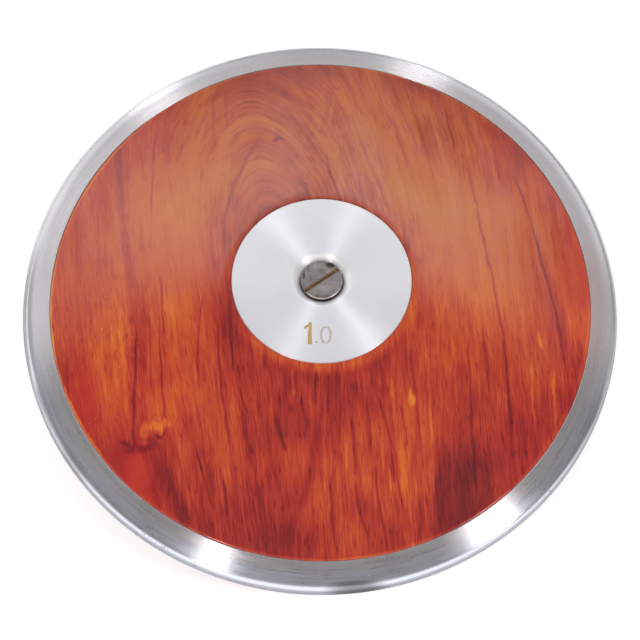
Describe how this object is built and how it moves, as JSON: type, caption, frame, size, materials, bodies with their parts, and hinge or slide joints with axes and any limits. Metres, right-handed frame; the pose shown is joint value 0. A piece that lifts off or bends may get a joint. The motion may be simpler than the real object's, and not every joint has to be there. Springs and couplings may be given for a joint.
{
  "type": "discus",
  "caption": "Throwing discus: two lacquered wooden halves in a steel rim ring, with flush steel centre plates drawn together by a slotted bolt and sleeve nut.",
  "frame": {"origin": "centre of the discus, on its spin axis and halfway through its thickness", "axes": "+Z along the spin axis, out of the face with the bolt head and the stamped numerals; +Y along the grain of the wood"},
  "size_m": [0.181, 0.181, 0.038],
  "materials": {
    "rim_steel": "satin",
    "lacquered_wood": "gloss",
    "plate_steel": "satin",
    "screw_steel": "satin",
    "inner_steel": "satin",
    "ballast_steel": "matte"
  },
  "bodies": {
    "root": {"rim": "rim_steel", "upper_wood_half": "lacquered_wood", "lower_wood_half": "lacquered_wood", "upper_centre_plate": "plate_steel", "lower_centre_plate": "plate_steel", "centre_bolt": "screw_steel", "sleeve_nut": "screw_steel", "core_tube": "inner_steel", "upper_weight_washer_1": "ballast_steel", "upper_weight_washer_2": "ballast_steel", "upper_weight_washer_3": "ballast_steel", "lower_weight_washer_1": "ballast_steel", "lower_weight_washer_2": "ballast_steel", "lower_weight_washer_3": "ballast_steel", "rim_pin_1": "inner_steel", "rim_pin_2": "inner_steel", "rim_pin_3": "inner_steel", "rim_pin_4": "inner_steel", "rim_pin_5": "inner_steel", "rim_pin_6": "inner_steel", "upper_plate_pin_1": "inner_steel", "upper_plate_pin_2": "inner_steel", "lower_plate_pin_1": "inner_steel", "lower_plate_pin_2": "inner_steel"}
  },
  "joints": []
}
